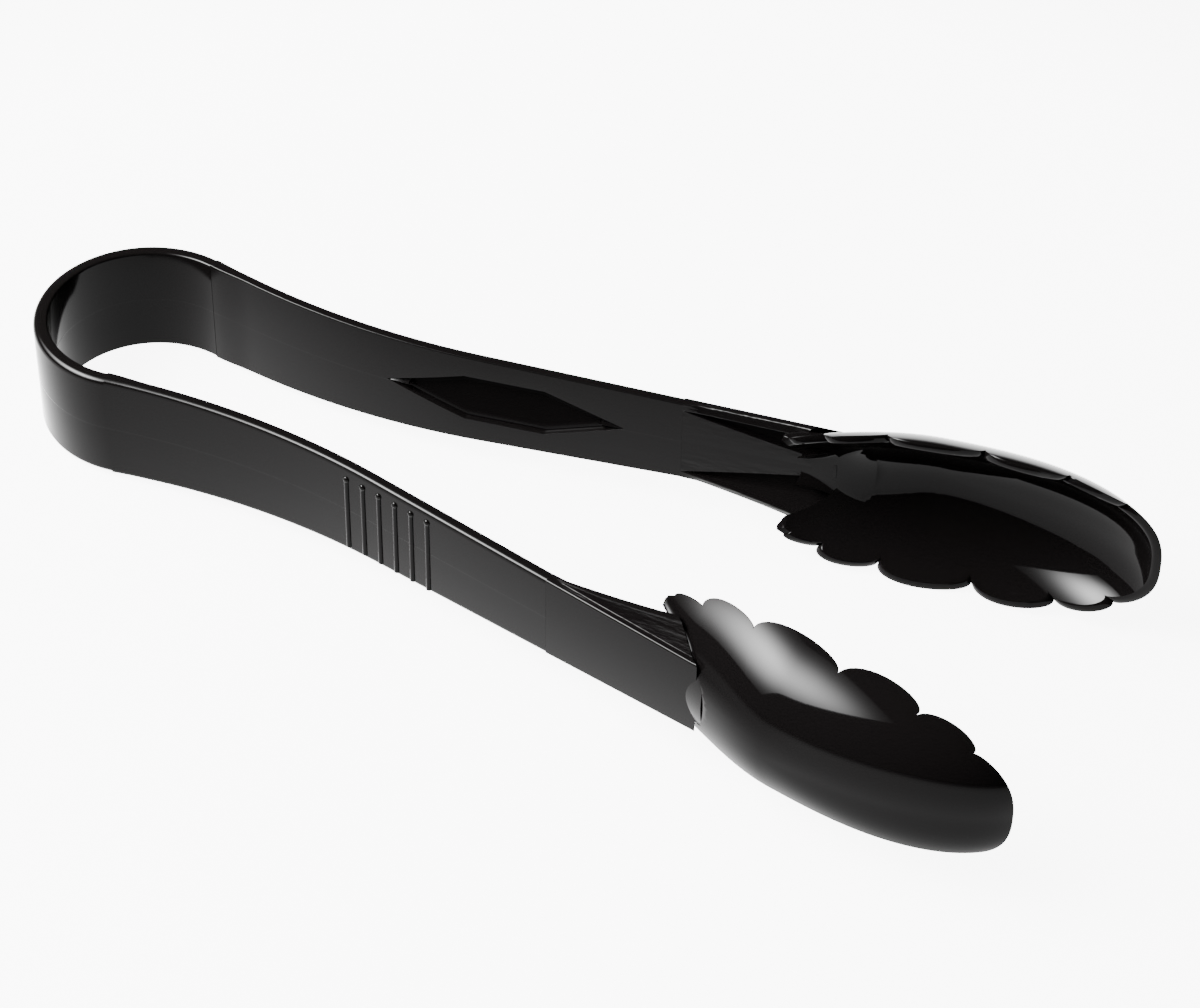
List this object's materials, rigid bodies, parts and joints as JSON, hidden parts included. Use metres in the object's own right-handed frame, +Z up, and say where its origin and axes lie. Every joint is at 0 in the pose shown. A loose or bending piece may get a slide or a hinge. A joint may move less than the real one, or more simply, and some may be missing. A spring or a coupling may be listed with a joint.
{
  "type": "kitchen tongs",
  "caption": "One-piece spring-bow kitchen tongs with ribbed flat straps and a pair of shallow oval scoops whose rims are cut into convex lobes.",
  "frame": {"origin": "middle of the bounding box at rest: half way from bow to tips, on both mirror planes of the outline", "axes": "+X from the bow to the tips, +Y to the rear arm, +Z up across the strap's width; the tongs lie on their side"},
  "size_m": [0.2287, 0.092, 0.0382],
  "materials": {
    "bow_plastic": "gloss black moulded plastic",
    "strap_plastic": "satin gloss black moulded plastic",
    "neck_plastic": "gloss black moulded plastic",
    "head_plastic": "polished gloss black moulded plastic"
  },
  "bodies": {
    "crown": {"bow_crown": "bow_plastic"},
    "front_link_1": {"front_bow_link_1": "bow_plastic"},
    "front_link_2": {"front_bow_link_2": "bow_plastic"},
    "front_arm": {"front_bow_heel": "bow_plastic", "front_strap": "strap_plastic", "front_neck": "neck_plastic", "front_head": "head_plastic"},
    "rear_link_1": {"rear_bow_link_1": "bow_plastic"},
    "rear_link_2": {"rear_bow_link_2": "bow_plastic"},
    "rear_arm": {"rear_bow_heel": "bow_plastic", "rear_strap": "strap_plastic", "rear_neck": "neck_plastic", "rear_head": "head_plastic"}
  },
  "joints": [
    {"name": "front_flexure_1", "type": "hinge", "parent": "crown", "child": "front_link_1", "pos_m": [-0.1119, -0.00608, 0], "axis": [0, 0, 1], "range_deg": [0, 3.16], "stiffness_Nm_per_rad": 4},
    {"name": "front_flexure_2", "type": "hinge", "parent": "front_link_1", "child": "front_link_2", "pos_m": [-0.10517, -0.01619, 0], "axis": [0, 0, 1], "range_deg": [0, 3.16], "stiffness_Nm_per_rad": 4},
    {"name": "front_flexure_3", "type": "hinge", "parent": "front_link_2", "child": "front_arm", "pos_m": [-0.09397, -0.02089, 0], "axis": [0, 0, 1], "range_deg": [0, 3.16], "stiffness_Nm_per_rad": 4},
    {"name": "rear_flexure_1", "type": "hinge", "parent": "crown", "child": "rear_link_1", "pos_m": [-0.1119, 0.00608, 0], "axis": [0, 0, 1], "range_deg": [-3.16, 0], "stiffness_Nm_per_rad": 4},
    {"name": "rear_flexure_2", "type": "hinge", "parent": "rear_link_1", "child": "rear_link_2", "pos_m": [-0.10517, 0.01619, 0], "axis": [0, 0, 1], "range_deg": [-3.16, 0], "stiffness_Nm_per_rad": 4},
    {"name": "rear_flexure_3", "type": "hinge", "parent": "rear_link_2", "child": "rear_arm", "pos_m": [-0.09397, 0.02089, 0], "axis": [0, 0, 1], "range_deg": [-3.16, 0], "stiffness_Nm_per_rad": 4}
  ],
  "couplings": [
    {"joint": "front_flexure_2", "follows": "front_flexure_1", "ratio": 1},
    {"joint": "front_flexure_3", "follows": "front_flexure_1", "ratio": 1},
    {"joint": "rear_flexure_1", "follows": "front_flexure_1", "ratio": -1},
    {"joint": "rear_flexure_2", "follows": "front_flexure_1", "ratio": -1},
    {"joint": "rear_flexure_3", "follows": "front_flexure_1", "ratio": -1}
  ]
}
